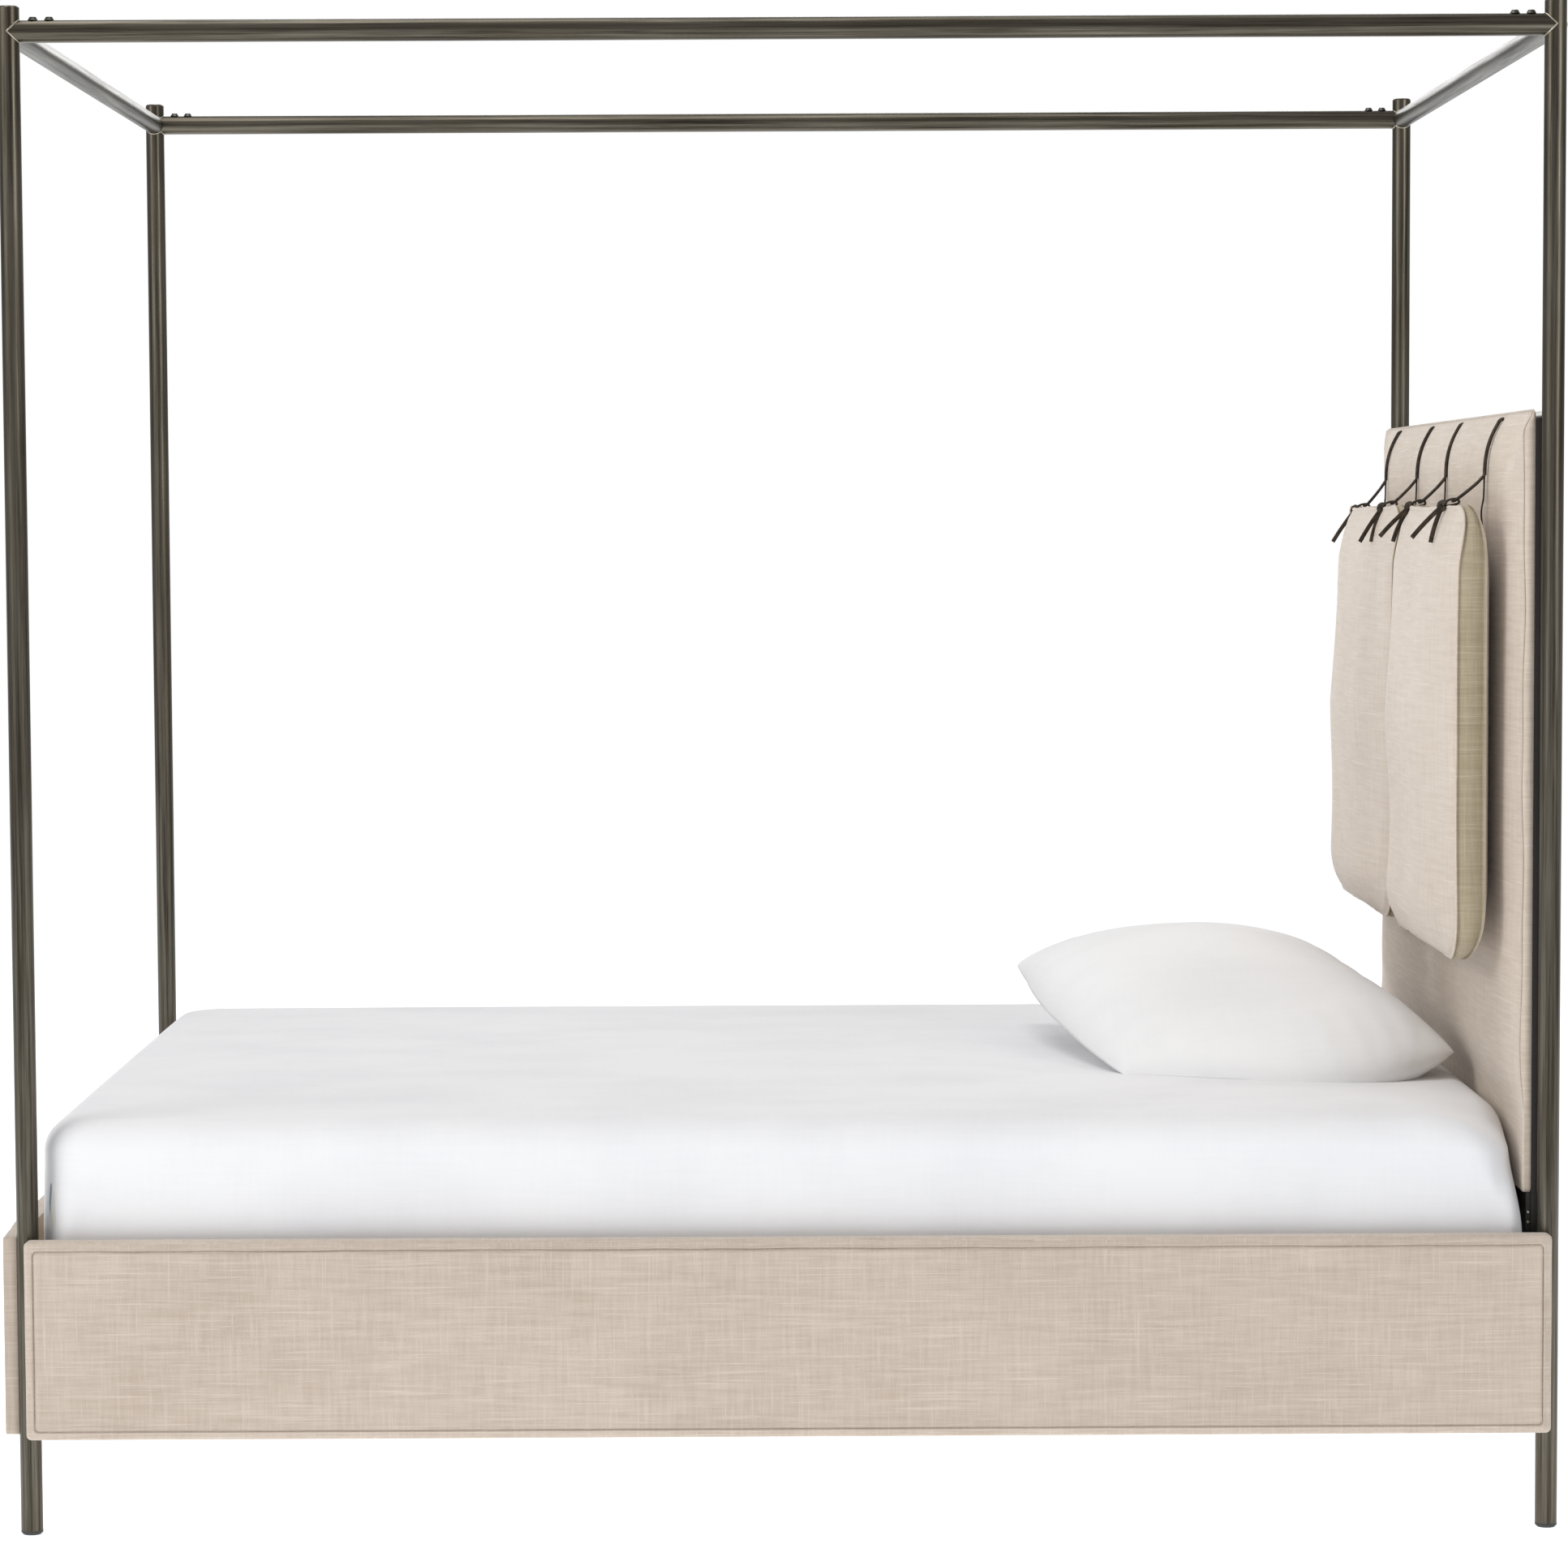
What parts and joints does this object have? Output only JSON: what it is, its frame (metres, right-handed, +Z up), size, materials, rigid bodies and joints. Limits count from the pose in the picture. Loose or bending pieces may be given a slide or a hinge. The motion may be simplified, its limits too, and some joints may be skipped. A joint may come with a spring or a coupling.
{
  "type": "four poster canopy bed",
  "caption": "Four poster canopy bed: slim round metal frame, upholstered rails and headboard, back cushions hung on leather straps, mattress and pillow.",
  "frame": {"origin": "on the floor, under the middle of the bed's outer length and width", "axes": "+X from the foot to the head of the bed, +Y to the left side seen from the foot, +Z up"},
  "size_m": [2.142, 1.614, 2.081],
  "materials": {
    "frame_metal": "dark brushed bronze-toned steel under clear lacquer",
    "screw_metal": "blackened steel, satin",
    "bracket_steel": "black powder coat",
    "glide_plastic": "matte dark nylon",
    "slat_wood": "planed pine, unfinished",
    "panel_wood": "birch plywood, sanded",
    "panel_black": "plywood stained black",
    "frame_linen": "slubbed oatmeal linen weave",
    "cushion_linen": "slubbed oatmeal linen weave",
    "sheet_cotton": "white cotton percale",
    "pillow_cotton": "white cotton percale",
    "mattress_ticking": "quilted off-white ticking",
    "strap_leather": "dark brown flat leather lace",
    "webbing": "black woven tape",
    "zip_metal": "antique dark zip pull"
  },
  "bodies": {
    "root": {"beam_hanger_foot": "bracket_steel", "beam_hanger_head": "bracket_steel", "bracket_bolts": "screw_metal", "canopy_end_rail_foot": "frame_metal", "canopy_end_rail_head": "frame_metal", "canopy_screws": "screw_metal", "canopy_side_rail_left": "frame_metal", "canopy_side_rail_right": "frame_metal", "canopy_spigots": "bracket_steel", "centre_beam": "slat_wood", "centre_glides": "glide_plastic", "centre_leg_foot": "slat_wood", "centre_leg_head": "slat_wood", "foot_bracket_left": "bracket_steel", "foot_bracket_right": "bracket_steel", "foot_crossbar": "frame_metal", "foot_rail_board": "panel_wood", "foot_rail_cover": "frame_linen", "glide_foot_left": "glide_plastic", "glide_foot_right": "glide_plastic", "glide_head_left": "glide_plastic", "glide_head_right": "glide_plastic", "head_crossbar_lower": "frame_metal", "head_crossbar_middle": "frame_metal", "head_crossbar_upper": "frame_metal", "headboard_battens": "panel_black", "headboard_board": "panel_black", "headboard_edge_screws": "screw_metal", "headboard_pad": "frame_linen", "headboard_saddles": "bracket_steel", "headboard_screws": "screw_metal", "headboard_straps_left": "strap_leather", "headboard_straps_right": "strap_leather", "ledger_screws": "screw_metal", "post_caps": "frame_metal", "post_foot_left": "frame_metal", "post_foot_right": "frame_metal", "post_head_left": "frame_metal", "post_head_right": "frame_metal", "rail_bracket_foot_left": "bracket_steel", "rail_bracket_foot_right": "bracket_steel", "rail_bracket_head_left": "bracket_steel", "rail_bracket_head_right": "bracket_steel", "side_rail_board_left": "panel_wood", "side_rail_board_right": "panel_wood", "side_rail_cover_left": "frame_linen", "side_rail_cover_right": "frame_linen", "slat_ledger_left": "slat_wood", "slat_ledger_right": "slat_wood", "slat_webbing": "webbing", "slats": "slat_wood"},
    "mattress": {"mattress": "mattress_ticking", "fitted_sheet": "sheet_cotton"},
    "pillow": {"pillow": "pillow_cotton"},
    "cushion_left": {"hanging_cushion_left": "cushion_linen", "cushion_ties_left": "strap_leather", "zip_pull_left": "zip_metal"},
    "cushion_right": {"hanging_cushion_right": "cushion_linen", "cushion_ties_right": "strap_leather", "zip_pull_right": "zip_metal"}
  },
  "joints": [
    {"name": "mattress_lift", "type": "slide", "parent": "root", "child": "mattress", "axis": [-0.25, 0, 0.9682], "range_m": [0, 0.06]},
    {"name": "pillow_slide", "type": "slide", "parent": "mattress", "child": "pillow", "axis": [-1, 0, 0], "range_m": [0, 0.4]},
    {"name": "cushion_left_swing", "type": "hinge", "parent": "root", "child": "cushion_left", "pos_m": [1.00175, 0.332, 1.443], "axis": [0, 1, 0], "range_deg": [0, 60]},
    {"name": "cushion_right_swing", "type": "hinge", "parent": "root", "child": "cushion_right", "pos_m": [1.00175, -0.332, 1.443], "axis": [0, 1, 0], "range_deg": [0, 60]}
  ]
}
